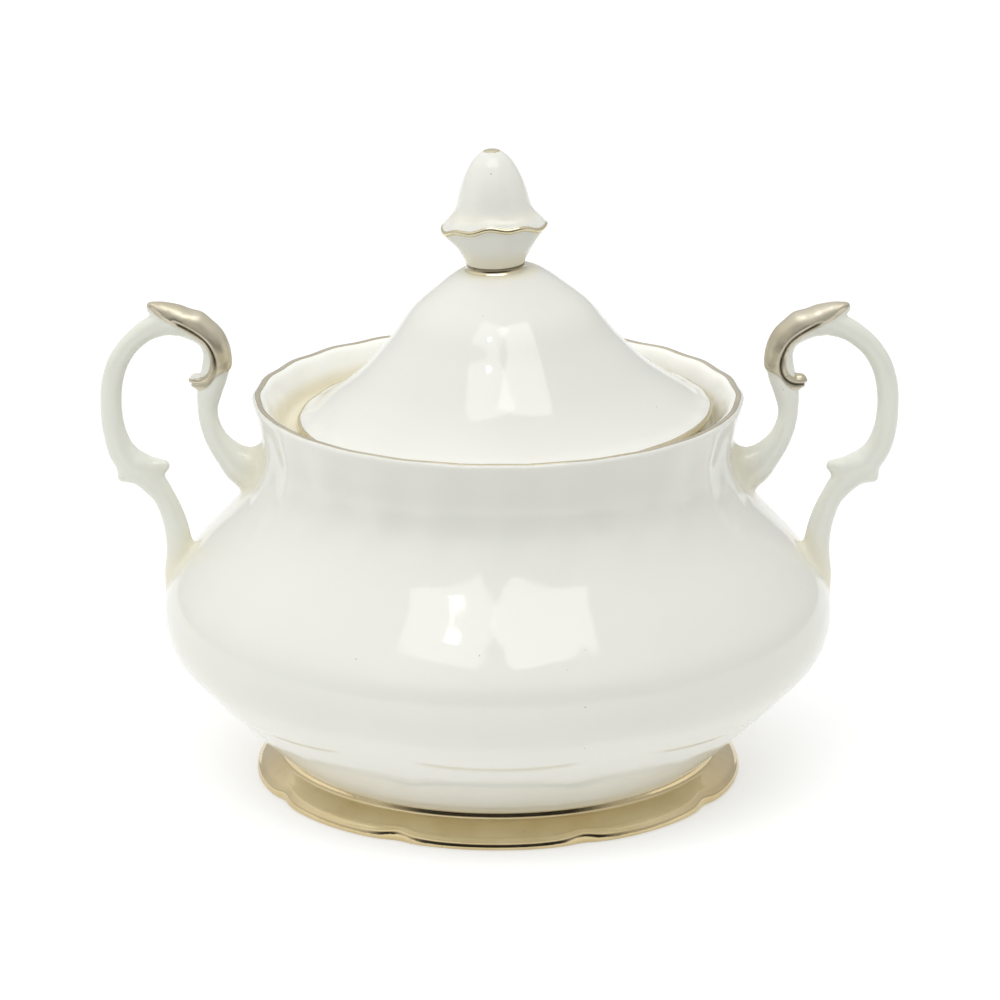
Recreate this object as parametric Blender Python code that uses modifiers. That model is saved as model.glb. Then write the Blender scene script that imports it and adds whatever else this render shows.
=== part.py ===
"""Covered sugar bowl in glazed china with fired metal trim.

A squat round bowl with a fluted neck stands on a flared, scalloped foot ring. Two scrolled handles are
luted to its neck and belly. The loose lid has a bell-shaped dome, a locating flange and an acorn finial.
The trim is a thin fired metal film: on the foot, the rim, the lid's edge, the scrolls and the finial.

Outlines are in millimetres and are scaled to metres as the meshes are made. +Z is up, +X runs through
the handles, and the origin is the middle of the plane that the foot rests on.
"""

import math

import bmesh
import bpy
from mathutils import Matrix, Vector

MM = 0.001

# Overall sizes, in millimetres.
RIM_RADIUS = 48.6
RIM_HEIGHT = 78.0
BELLY_RADIUS = 66.9
BELLY_HEIGHT = 34.0
NECK_RADIUS = 46.7
NECK_HEIGHT = 68.0
WALL = 2.8
FOOT_RADIUS = 49.2
FOOT_JOIN_RADIUS = 43.6
FOOT_JOIN_HEIGHT = 5.9
GAP = 0.3
FILM = 0.4

# The seat that the lid rests in, just inside the rim.
LEDGE_HEIGHT = 71.8
LEDGE_RADIUS = 42.4
THROAT_RADIUS = 37.4

# The lid lies loosely in its seat: a little off the bowl's axis, with its left edge lower.
LID_RADIUS = 40.6
LID_HEIGHT = 74.5
LID_SHIFT = 1.4
LID_TILT = 2.0
FLANGE_RADIUS = 35.2
FLANGE_DEPTH = 8.2
DOME_SEAT = 29.6
FINIAL_SHIFT = -0.8
COLLAR_RADIUS = 9.9
COLLAR_HEIGHT = 38.3
FINIAL_TOP = 53.6

# Repeats around the axis.
NECK_FLUTES = 24
FLUTE_DEPTH = 0.3
COLLAR_WAVES = 8
COLLAR_WAVE_DEPTH = 0.28
BOWL_STEPS = 48
FOOT_STEPS = 96
LID_STEPS = 48
FINIAL_STEPS = 32

# The foot's notches, in degrees from the front: the front and back lobes are a little wider.
FOOT_NOTCHES = (-157.5, -119.0, -61.0, -22.5, 22.5, 61.0, 119.0, 157.5)
FOOT_TURN = -2.0
NOTCH_DEPTH = 1.5

# The handles: their section is a little flatter than round.
HANDLE_FLATNESS = 0.88
CURVE_STEPS = 2

# Centrelines of the right handle's members: (x, z, radius).
HANDLE_ARM = [
    (43.0, 62.0, 5.2), (47.6, 62.4, 4.8), (50.6, 63.3, 4.0), (53.2, 65.4, 3.0), (55.8, 68.6, 2.3),
    (57.3, 72.2, 2.0), (57.7, 75.6, 2.05), (57.2, 79.2, 2.5), (56.1, 82.8, 2.6), (55.8, 86.4, 2.6),
    (57.0, 89.8, 2.7), (60.0, 92.3, 2.7),
]
HANDLE_LOOP = [
    (60.0, 92.3, 2.7), (64.5, 93.1, 2.6), (68.8, 91.9, 2.25), (71.8, 90.0, 2.1), (74.2, 87.6, 2.05),
    (76.2, 84.2, 2.1), (77.3, 80.0, 2.15), (77.5, 75.5, 2.15), (77.0, 71.0, 2.3), (75.6, 67.0, 2.55),
    (72.8, 63.6, 2.9), (69.5, 60.7, 2.7), (66.8, 57.1, 2.2), (65.1, 53.2, 2.3), (64.1, 49.0, 2.5),
    (63.9, 45.0, 2.6), (64.2, 41.4, 2.6), (64.3, 38.8, 1.8),
]
HANDLE_SPUR = [(64.8, 93.0, 2.6), (67.0, 94.5, 1.9), (69.0, 96.1, 0.9)]
HANDLE_VOLUTE = [
    (56.0, 84.4, 2.4), (56.9, 82.2, 1.9), (58.4, 80.9, 1.5), (59.9, 81.1, 1.35), (60.3, 81.9, 1.1),
]
HANDLE_HOOK = [(71.5, 63.3, 2.5), (68.6, 62.9, 2.1), (66.7, 63.4, 1.2)]
HANDLE_KNUCKLE = [(72.0, 63.2, 2.7), (73.6, 62.2, 2.2), (74.7, 61.3, 1.3)]

# The outer face of the metal on a handle's scroll, from above the volute over the top to the spur.
SCROLL_EDGE = [(52.7, 82.6), (52.5, 87.0), (54.1, 91.6), (57.7, 95.1), (61.5, 96.2), (65.2, 96.9)]
SCROLL_FILM_WIDTH = 3.0

GLAZE = ("glazed_china", (0.83, 0.83, 0.78), 0.12, 0.0)
METAL = ("fired_metal", (0.62, 0.57, 0.47), 0.14, 1.0)


def clear_scene():
    for thing in list(bpy.data.objects):
        bpy.data.objects.remove(thing)


def new_collection(name):
    collection = bpy.data.collections.new(name)
    bpy.context.scene.collection.children.link(collection)
    return collection


def material_for(node, finish):
    """A Principled material of a node's own, in one of the two finishes."""
    kind, colour, roughness, metallic = finish
    material = bpy.data.materials.new(f"{node}_{kind}")
    material.use_nodes = True
    shader = material.node_tree.nodes["Principled BSDF"]
    shader.inputs["Base Color"].default_value = (*colour, 1.0)
    shader.inputs["Roughness"].default_value = roughness
    shader.inputs["Metallic"].default_value = metallic
    return material


def smooth_line(points, steps):
    """A smooth line through a few points: a Catmull-Rom curve in any number of dimensions."""
    line = []
    last = len(points) - 1
    for index in range(last):
        before = points[max(index - 1, 0)]
        start = points[index]
        end = points[index + 1]
        after = points[min(index + 2, last)]
        for step in range(steps):
            t = step / steps
            line.append(tuple(
                0.5 * (2 * b + (c - a) * t + (2 * a - 5 * b + 4 * c - d) * t ** 2
                       + (3 * b - a - 3 * c + d) * t ** 3)
                for a, b, c, d in zip(before, start, end, after)
            ))
    line.append(tuple(points[last]))
    return line


def offset_line(points, distance):
    """Moves a line sideways, away from the axis where the line runs upwards."""
    moved = []
    last = len(points) - 1
    for index, (r, z) in enumerate(points):
        r0, z0 = points[max(index - 1, 0)]
        r1, z1 = points[min(index + 1, last)]
        run = math.hypot(r1 - r0, z1 - z0)
        moved.append((r + distance * (z1 - z0) / run, z - distance * (r1 - r0) / run))
    return moved


def ramp(value, low, high):
    """0 below low, 1 above high, and smooth between them."""
    t = min(max((value - low) / (high - low), 0.0), 1.0)
    return t * t * (3 - 2 * t)


def link_mesh(name, mesh, collection, finish=None):
    thing = bpy.data.objects.new(name, mesh)
    collection.objects.link(thing)
    if finish:
        mesh.materials.clear()
        mesh.materials.append(material_for(name, finish))
    return thing


def evaluated_mesh(thing):
    """The mesh of an object with its modifiers applied. The object itself is removed."""
    graph = bpy.context.evaluated_depsgraph_get()
    mesh = bpy.data.meshes.new_from_object(thing.evaluated_get(graph))
    bpy.data.objects.remove(thing)
    return mesh


def turned(name, outline, steps, collection, finish=None, ring=False, shape=None):
    """Turns an outline of (radius, height) points around Z. A ring's outline closes on itself.

    shape, if given, takes a radius, a height and an angle, and returns the changed radius and height.
    """
    mesh = bpy.data.meshes.new(name)
    edges = [(index, index + 1) for index in range(len(outline) - 1)]
    if ring:
        edges.append((len(outline) - 1, 0))
    mesh.from_pydata([(r * MM, 0, z * MM) for r, z in outline], edges, [])
    thing = bpy.data.objects.new(name, mesh)
    collection.objects.link(thing)
    screw = thing.modifiers.new("turn", "SCREW")
    screw.axis = "Z"
    screw.angle = 2 * math.pi
    screw.steps = steps
    screw.render_steps = steps
    screw.use_merge_vertices = True
    screw.merge_threshold = 0.00001
    solid = evaluated_mesh(thing)
    if shape:
        for vertex in solid.vertices:
            angle = math.atan2(vertex.co.y, vertex.co.x)
            radius, height = shape(vertex.co.xy.length / MM, vertex.co.z / MM, angle)
            vertex.co = Vector((math.cos(angle) * radius, math.sin(angle) * radius, height)) * MM
    solid.shade_smooth()
    solid.set_sharp_from_angle(angle=math.radians(40))
    return link_mesh(name, solid, collection, finish)


def joined(name, things, collection, finish, operation="UNION"):
    """The first thing joined to, or cut by, all the others with Booleans."""
    base, *others = things
    for other in others:
        cut = base.modifiers.new(operation.lower(), "BOOLEAN")
        cut.operation = operation
        cut.solver = "EXACT"
        cut.object = other
    solid = evaluated_mesh(base)
    for other in others:
        bpy.data.objects.remove(other)
    solid.shade_smooth()
    solid.set_sharp_from_angle(angle=math.radians(50))
    return link_mesh(name, solid, collection, finish)


# ---- the bowl ---------------------------------------------------------------------------------------

def bowl_outer_line():
    """The bowl's outer side, from the foot up to the lip: a straight taper, the belly and the neck."""
    return smooth_line([
        (FOOT_JOIN_RADIUS, FOOT_JOIN_HEIGHT),
        (54.0, 15.6),
        (62.0, 23.7),
        (65.6, 28.4),
        (BELLY_RADIUS, BELLY_HEIGHT),
        (65.7, 39.8),
        (61.1, 46.0),
        (53.0, 55.0),
        (48.3, 62.0),
        (NECK_RADIUS, NECK_HEIGHT),
        (47.6, 73.4),
        (RIM_RADIUS, RIM_HEIGHT - 0.9),
    ], 2)


def bowl_inner_line():
    """The bowl's inner side, from the middle of the floor up to the rim, with the lid's ledge."""
    wall = [point for point in offset_line(bowl_outer_line(), -WALL) if 14.0 < point[1] < 62.0]
    floor = [(0.0, 8.6), (34.0, 8.7), (42.0, 9.8), (47.0, 13.0)]
    ledge_underside = [(43.6, 65.4), (41.0, 68.0), (THROAT_RADIUS + 0.8, 69.2)]
    ledge = [(THROAT_RADIUS, 70.2), (THROAT_RADIUS, 71.2), (THROAT_RADIUS + 0.6, LEDGE_HEIGHT)]
    seat_wall = [(LEDGE_RADIUS, LEDGE_HEIGHT), (43.4, 72.6), (45.0, 75.4)]
    rim = [(46.6, RIM_HEIGHT - 0.3), (47.2, RIM_HEIGHT), (48.2, RIM_HEIGHT - 0.1)]
    return floor + wall + ledge_underside + ledge + seat_wall + rim


def flute(radius, height, angle):
    """The neck's shallow flutes, which fade out on the shoulder and on the seat's inner wall."""
    if radius < LEDGE_RADIUS:
        return radius, height
    outside = radius > NECK_RADIUS - WALL / 2
    strength = ramp(height, 50.0, 64.0) if outside else ramp(height, 72.0, 77.0)
    return radius + FLUTE_DEPTH * strength * math.cos(NECK_FLUTES * angle), height


def make_bowl(parts):
    underside = [(36.0, FOOT_JOIN_HEIGHT), (20.0, 6.2), (0.0, 6.3)]
    outline = bowl_inner_line() + bowl_outer_line()[::-1] + underside
    return turned("bowl_shell", outline, BOWL_STEPS, parts, GLAZE, shape=flute)


def make_rim_band(parts):
    """The metal line on the rim's inner slope."""
    base = RIM_HEIGHT + GAP
    outline = [(48.0, base), (47.9, base + 0.2), (47.0, base + 0.3), (46.6, base + 0.1), (46.7, base - 0.1)]
    return turned("rim_band", outline[::-1], BOWL_STEPS, parts, METAL, ring=True, shape=flute)


# ---- the foot ---------------------------------------------------------------------------------------

def scallop(radius, height, angle):
    """The foot's eight lobes: narrow notches that deepen down the flare to the foot's edge."""
    from_front = math.degrees(angle) + 90 - FOOT_TURN
    notches = 0.0
    for notch in FOOT_NOTCHES:
        away = (from_front - notch + 180) % 360 - 180
        notches += 0.65 * math.exp(-(away / 3.5) ** 2) + 0.35 * math.exp(-(away / 9.0) ** 2)
    outward = ramp(radius, FOOT_JOIN_RADIUS - 0.6, FOOT_JOIN_RADIUS + 1.4)
    downward = 1 - ramp(height, 1.6, 4.9)
    return radius - NOTCH_DEPTH * outward * downward * notches, height


def foot_flare_line():
    """The foot's outer side, from the join down to its edge: a tight fillet, a straight cone and a lip."""
    return [
        (FOOT_JOIN_RADIUS - 0.2, FOOT_JOIN_HEIGHT - GAP),
        (FOOT_JOIN_RADIUS + 0.15, 4.9),
        (44.6, 4.35),
        (46.6, 3.03),
        (FOOT_RADIUS - 0.5, 1.65),
        (FOOT_RADIUS - 0.1, 1.3),
        (FOOT_RADIUS, 0.9),
    ]


def make_foot(parts):
    core = offset_line(foot_flare_line(), GAP + FILM)
    edge = [(FOOT_RADIUS - 1.0, 0.4), (FOOT_RADIUS - 1.8, 0.0)]
    sole_and_inside = [(FOOT_RADIUS - 4.4, 0.0), (43.6, 0.8), (41.0, 3.2), (37.5, 5.2)]
    top = [(37.0, FOOT_JOIN_HEIGHT - GAP)]
    outline = core + edge + sole_and_inside + top
    return turned("foot_ring", outline, FOOT_STEPS, parts, GLAZE, ring=True, shape=scallop)


def make_foot_film(parts):
    outer = foot_flare_line()
    inner = offset_line(outer, FILM)
    lip = [(FOOT_RADIUS - 0.2, 0.6)]
    outline = outer + lip + inner[::-1]
    return turned("foot_gilding", outline, FOOT_STEPS, parts, METAL, ring=True, shape=scallop)


# ---- the handles ------------------------------------------------------------------------------------

def member(name, points, side, collection):
    """One member of a handle: a round tube along a smooth line, as a closed mesh."""
    line = smooth_line(points, CURVE_STEPS)
    curve = bpy.data.curves.new(name, "CURVE")
    curve.dimensions = "3D"
    curve.bevel_depth = MM
    curve.bevel_resolution = 2
    curve.use_fill_caps = True
    spline = curve.splines.new("POLY")
    spline.points.add(len(line) - 1)
    for point, (x, z, radius) in zip(spline.points, line):
        point.co = (side * x * MM, 0, z * MM, 1)
        point.radius = radius
    thing = bpy.data.objects.new(name, curve)
    collection.objects.link(thing)
    mesh = evaluated_mesh(thing)
    solid = bmesh.new()
    solid.from_mesh(mesh)
    bmesh.ops.remove_doubles(solid, verts=solid.verts, dist=0.00001)
    bmesh.ops.scale(solid, verts=solid.verts, vec=(1, HANDLE_FLATNESS, 1))
    bmesh.ops.recalc_face_normals(solid, faces=solid.faces)
    solid.to_mesh(mesh)
    solid.free()
    return link_mesh(name, mesh, collection)


def bowl_cutter(cutters):
    """The bowl's outside, a gap larger, which shapes the handles' feet."""
    line = offset_line(bowl_outer_line(), GAP)
    outline = [(0.0, RIM_HEIGHT)] + line[::-1] + [(0.0, FOOT_JOIN_HEIGHT)]
    cutter = turned("bowl_outside", outline, BOWL_STEPS, cutters, shape=flute)
    cutter.hide_render = True
    cutter.display_type = "WIRE"
    return cutter


def make_handle(name, side, parts, cutters):
    lines = [HANDLE_LOOP, HANDLE_ARM, HANDLE_SPUR, HANDLE_VOLUTE, HANDLE_HOOK, HANDLE_KNUCKLE]
    members = [member(f"{name}_member_{index}", line, side, cutters) for index, line in enumerate(lines)]
    whole = joined(f"{name}_whole", members, cutters, None)
    return joined(name, [whole, bowl_cutter(cutters)], parts, GLAZE, "DIFFERENCE")


def make_scroll_film(name, side, parts):
    """The metal over a handle's scroll: a curved strip that stands just off the china."""
    edge = smooth_line(SCROLL_EDGE, CURVE_STEPS)
    outer = [(side * x, z) for x, z in edge]
    inner = [(side * x, z) for x, z in offset_line(edge, FILM)]
    curve = bpy.data.curves.new(name, "CURVE")
    curve.dimensions = "2D"
    curve.fill_mode = "BOTH"
    curve.extrude = SCROLL_FILM_WIDTH / 2 * MM
    spline = curve.splines.new("POLY")
    outline = outer + inner[::-1]
    spline.points.add(len(outline) - 1)
    for point, (x, z) in zip(spline.points, outline):
        point.co = (x * MM, z * MM, 0, 1)
    spline.use_cyclic_u = True
    thing = bpy.data.objects.new(name, curve)
    parts.objects.link(thing)
    mesh = evaluated_mesh(thing)
    mesh.transform(Matrix.Rotation(math.radians(90), 4, "X"))
    solid = bmesh.new()
    solid.from_mesh(mesh)
    bmesh.ops.remove_doubles(solid, verts=solid.verts, dist=0.00001)
    bmesh.ops.recalc_face_normals(solid, faces=solid.faces)
    solid.to_mesh(mesh)
    solid.free()
    return link_mesh(name, mesh, parts, METAL)


# ---- the lid, in its own frame: its axis is Z and its edge is at height 0 ---------------------------

def make_lid(parts):
    dome = smooth_line([
        (7.6, DOME_SEAT - 0.1),
        (13.3, 25.5),
        (18.0, 21.4),
        (23.0, 14.9),
        (29.6, 7.9),
        (37.2, 2.3),
        (LID_RADIUS - 0.6, 0.6),
    ], 2)
    edge = [(LID_RADIUS, 0.0), (LID_RADIUS - 0.4, -0.9)]
    flange = [
        (FLANGE_RADIUS + 0.6, -1.0), (FLANGE_RADIUS, -1.6), (FLANGE_RADIUS - 0.2, -7.4),
        (FLANGE_RADIUS - 0.9, -FLANGE_DEPTH), (FLANGE_RADIUS - 2.4, -7.6), (FLANGE_RADIUS - 3.0, -1.6),
    ]
    inside = [(31.2, 2.4), (26.6, 6.6), (21.2, 12.6), (16.4, 18.8), (11.4, 23.2), (6.0, 25.8), (0.0, 26.6)]
    outline = [(0.0, DOME_SEAT)] + dome + edge + flange + inside
    return turned("lid_shell", outline, LID_STEPS, parts, GLAZE)


def make_lid_band(parts):
    inner = LID_RADIUS + GAP
    outer = inner + FILM
    outline = [(inner, 0.7), (outer, 0.4), (outer, -0.4), (inner, -0.7)]
    return turned("lid_edge_band", outline, BOWL_STEPS, parts, METAL, ring=True)


def wave(radius, height, angle):
    """The collar's waves, hanging sides and slightly oval plan, which fade out on the stem and crown."""
    strength = ramp(radius, COLLAR_RADIUS - 3.0, COLLAR_RADIUS)
    waves = COLLAR_WAVE_DEPTH * math.cos(COLLAR_WAVES * angle + 0.84)
    hang = 0.1 + 0.42 * math.cos(angle) - 0.85 * math.cos(2 * angle)
    oval = 1 - 0.12 * strength * math.sin(angle) ** 2
    return radius * oval, height + strength * (waves + hang)


def make_finial(parts):
    crown = smooth_line([
        (0.0, FINIAL_TOP),
        (2.4, FINIAL_TOP - 0.6),
        (4.8, 50.1),
        (6.2, 46.9),
        (7.2, 43.4),
        (8.1, 41.2),
        (COLLAR_RADIUS - 0.3, 39.2),
        (COLLAR_RADIUS, COLLAR_HEIGHT),
    ], 2)
    stem = smooth_line([
        (COLLAR_RADIUS - 0.2, COLLAR_HEIGHT - 0.6),
        (8.4, 35.2),
        (6.5, 32.3),
        (5.9, DOME_SEAT + GAP),
    ], 2)
    outline = crown + stem + [(0.0, DOME_SEAT + GAP)]
    return turned("finial", outline, FINIAL_STEPS, parts, GLAZE, shape=wave)


def make_finial_trim(parts):
    """The metal at the finial's foot, on its collar's edge and on its tip."""
    foot = DOME_SEAT + GAP
    foot_outline = [(6.3, foot + 1.1), (6.6, foot + 0.9), (6.9, foot), (6.3, foot)]
    neck_band = turned("finial_neck_band", foot_outline, FINIAL_STEPS, parts, METAL, ring=True)
    inner = COLLAR_RADIUS + GAP
    outer = inner + FILM
    edge_outline = [(inner, COLLAR_HEIGHT + 0.5), (outer, COLLAR_HEIGHT + 0.3),
                    (outer, COLLAR_HEIGHT - 0.3), (inner, COLLAR_HEIGHT - 0.6)]
    collar_band = turned(
        "finial_collar_band", edge_outline, FINIAL_STEPS, parts, METAL, ring=True, shape=wave)
    base = FINIAL_TOP + GAP
    tip_outline = [(0.0, base + 0.3), (1.0, base + 0.2), (1.7, base), (0.0, base)]
    tip_spot = turned("finial_tip_spot", tip_outline, FINIAL_STEPS, parts, METAL)
    return [neck_band, collar_band, tip_spot]


def place_lid(lid_pieces, finial_pieces, parts):
    """Sets the lid's frame in the bowl's seat and the finial's frame on the lid."""
    seat = bpy.data.objects.new("lid_seat", None)
    parts.objects.link(seat)
    seat.location = Vector((LID_SHIFT, 0, LID_HEIGHT)) * MM
    seat.rotation_euler.y = -math.radians(LID_TILT)
    stand = bpy.data.objects.new("finial_stand", None)
    parts.objects.link(stand)
    stand.parent = seat
    stand.location.x = FINIAL_SHIFT * MM
    for piece in lid_pieces:
        piece.parent = seat
    for piece in finial_pieces:
        piece.parent = stand


def main():
    clear_scene()
    parts = new_collection("sugar_bowl")
    cutters = new_collection("cutters")
    make_bowl(parts)
    make_rim_band(parts)
    make_foot(parts)
    make_foot_film(parts)
    for name, side in (("handle_left", -1), ("handle_right", 1)):
        make_handle(name, side, parts, cutters)
        make_scroll_film(f"{name}_gilding", side, parts)
    place_lid([make_lid(parts), make_lid_band(parts)], [make_finial(parts)] + make_finial_trim(parts), parts)


main()
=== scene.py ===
"""The looks of a covered sugar bowl in glazed china with fired metal trim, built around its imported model.

Every china piece is remade at fine scale inside its CAD node's space: the fluted neck, the waved rim, the
petal relief, the lobed foot and the scrolled handles. The metal films lie on the china as thin skins.
Outlines are in design millimetres. One design millimetre is worked out from the frame's own size.
"""

import math

import bmesh
import bpy
import numpy as np
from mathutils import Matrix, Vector


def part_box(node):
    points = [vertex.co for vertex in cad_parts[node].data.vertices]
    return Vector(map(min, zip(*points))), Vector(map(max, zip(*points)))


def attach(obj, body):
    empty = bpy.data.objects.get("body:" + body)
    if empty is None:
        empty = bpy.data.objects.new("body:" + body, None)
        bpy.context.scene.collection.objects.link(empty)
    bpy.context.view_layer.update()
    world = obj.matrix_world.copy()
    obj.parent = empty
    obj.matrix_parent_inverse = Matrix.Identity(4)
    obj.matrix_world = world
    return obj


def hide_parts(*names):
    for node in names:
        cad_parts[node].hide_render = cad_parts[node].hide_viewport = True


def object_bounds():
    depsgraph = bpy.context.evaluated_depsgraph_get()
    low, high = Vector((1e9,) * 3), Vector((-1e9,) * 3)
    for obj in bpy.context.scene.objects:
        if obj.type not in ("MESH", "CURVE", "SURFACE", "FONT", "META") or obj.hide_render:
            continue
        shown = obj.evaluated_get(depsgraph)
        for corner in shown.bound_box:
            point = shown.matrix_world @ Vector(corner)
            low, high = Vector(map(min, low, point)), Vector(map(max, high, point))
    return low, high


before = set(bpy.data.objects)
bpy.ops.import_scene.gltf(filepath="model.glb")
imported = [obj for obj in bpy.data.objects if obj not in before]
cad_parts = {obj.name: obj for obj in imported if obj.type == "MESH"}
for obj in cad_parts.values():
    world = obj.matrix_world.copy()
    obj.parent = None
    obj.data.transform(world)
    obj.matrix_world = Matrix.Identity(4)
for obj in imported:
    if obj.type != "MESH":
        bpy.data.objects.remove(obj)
CAD_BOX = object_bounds()

# ---- sizes from the frame ---------------------------------------------------------------------------

BELLY_RADIUS = 66.9
BOWL_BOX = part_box("bowl_shell")
MM = BOWL_BOX[1].x / BELLY_RADIUS
RIM_HEIGHT = BOWL_BOX[1].z / MM
JOIN_HEIGHT = BOWL_BOX[0].z / MM
FOOT_INSET = 0.4
FOOT_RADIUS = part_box("foot_gilding")[1].x / MM - FOOT_INSET

# The lid's edge band in the frame is a ring 1.4 mm high. It leans with the lid, so its box gives the lean.
BAND_HEIGHT = 0.0014
LID_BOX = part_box("lid_edge_band")
LID_RADIUS = (LID_BOX[1].y - LID_BOX[0].y) / 2 / MM
LID_CENTRE = (LID_BOX[0] + LID_BOX[1]) / 2
LID_TILT = math.asin((LID_BOX[1].z - LID_BOX[0].z - BAND_HEIGHT) / (LID_BOX[1].x - LID_BOX[0].x))
FINIAL_SHIFT = -0.8

WALL = 2.8
JOIN_RADIUS = 43.6
SEAT_RADIUS = 43.0
NECK_FLUTES = 24
FLUTE_DEPTH = 0.26
RIM_FLUTE_DEPTH = 0.1

# The foot's notches, in degrees from the front, and its cone, which ends where the rolled edge begins.
FOOT_NOTCHES = (-157.5, -119.0, -61.0, -22.5, 22.5, 61.0, 119.0, 157.5)
FOOT_TURN = -2.0
NOTCH_DEPTH = 0.95
CONE_SLOPE = 0.66
CONE_END = 1.67

PETALS = 8
COLLAR_WAVES = 8

# How far a metal film stands above the china's skin, and how far it reaches below it.
FILM_ABOVE = 0.05
FILM_BELOW = 0.12

ROUND_STEPS = 480
SMALL_STEPS = 192


# ---- lines and fields -------------------------------------------------------------------------------

def smooth_line(points, steps):
    """A smooth line through a few points: a Catmull-Rom curve in any number of dimensions."""
    points = np.array(points, float)
    padded = np.vstack([points[:1], points, points[-1:]])
    t = (np.arange(steps) / steps)[:, None]
    line = []
    for index in range(len(points) - 1):
        a, b, c, d = padded[index:index + 4]
        line.append(0.5 * (2 * b + (c - a) * t + (2 * a - 5 * b + 4 * c - d) * t ** 2
                           + (3 * b - a - 3 * c + d) * t ** 3))
    return np.vstack(line + [points[-1:]])


def spaced(line, spacing):
    """The same line with its points an even distance apart."""
    line = np.array(line, float)
    lengths = np.r_[0, np.cumsum(np.linalg.norm(np.diff(line, axis=0), axis=1))]
    count = max(int(round(lengths[-1] / spacing)), 1)
    places = np.linspace(0, lengths[-1], count + 1)
    return np.column_stack([np.interp(places, lengths, line[:, k]) for k in range(line.shape[1])])


def offset_line(line, distance):
    """Moves a line sideways, away from the axis where the line runs upwards."""
    along = np.gradient(line, axis=0)
    along /= np.linalg.norm(along, axis=1)[:, None]
    return line + distance * np.column_stack([along[:, 1], -along[:, 0]])


def ramp(value, low, high):
    """0 at low, 1 at high, and smooth between them, whichever of the two is larger."""
    t = np.clip((value - low) / (high - low), 0, 1)
    return t * t * (3 - 2 * t)


def smooth_union(a, b, blend):
    """The union of two distance fields, with a fillet."""
    h = np.clip(0.5 + 0.5 * (b - a) / blend, 0, 1)
    return b * (1 - h) + a * h - blend * h * (1 - h)


# ---- mesh makers ------------------------------------------------------------------------------------

def new_piece(name, points, faces):
    """A smooth-shaded mesh object from points in design millimetres."""
    mesh = bpy.data.meshes.new(name)
    mesh.from_pydata((np.asarray(points) * MM).tolist(), [], [list(map(int, face)) for face in faces])
    mesh.validate()
    mesh.shade_smooth()
    piece = bpy.data.objects.new(name, mesh)
    bpy.context.scene.collection.objects.link(piece)
    return piece


def set_field(piece, name, values):
    """Keeps one number for each point, for the material to read."""
    field = piece.data.attributes.new(name, "FLOAT", "POINT")
    field.data.foreach_set("value", np.asarray(values, np.float32).ravel())


def revolve(name, outline, steps, shape, ring=False):
    """Turns an outline of (radius, height) points around Z, as one closed skin that faces out.

    The outline runs down its outer side. shape takes radii, heights and angles, and returns the changed
    radii and heights. An outline that starts or ends on the axis gets one point there.
    """
    outline = np.array(outline, float)
    angles = 2 * np.pi * np.arange(steps) / steps
    radii = np.repeat(outline[:, :1], steps, axis=1)
    heights = np.repeat(outline[:, 1:2], steps, axis=1)
    radii, heights = shape(radii, heights, angles[None, :])
    points, index = [], []
    count = 0
    for row in range(len(outline)):
        on_axis = outline[row, 0] < 1e-6
        used = 1 if on_axis else steps
        if on_axis:
            points.append([[0.0, 0.0, heights[row, 0]]])
        else:
            x, y = radii[row] * np.cos(angles), radii[row] * np.sin(angles)
            points.append(np.column_stack([x, y, heights[row]]))
        index.append(count + np.arange(steps) % used)
        count += used
    index = np.array(index)
    faces = []
    pairs = [(row, row + 1) for row in range(len(outline) - 1)]
    if ring:
        pairs.append((len(outline) - 1, 0))
    for upper, lower in pairs:
        a, b = index[upper], index[lower]
        quads = np.column_stack([a, b, np.roll(b, -1), np.roll(a, -1)])
        if a[0] == a[1]:
            quads = quads[:, :3]
        elif b[0] == b[1]:
            quads = quads[:, [0, 1, 3]]
        faces.extend(quads.tolist())
    return new_piece(name, np.vstack(points), faces)


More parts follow.
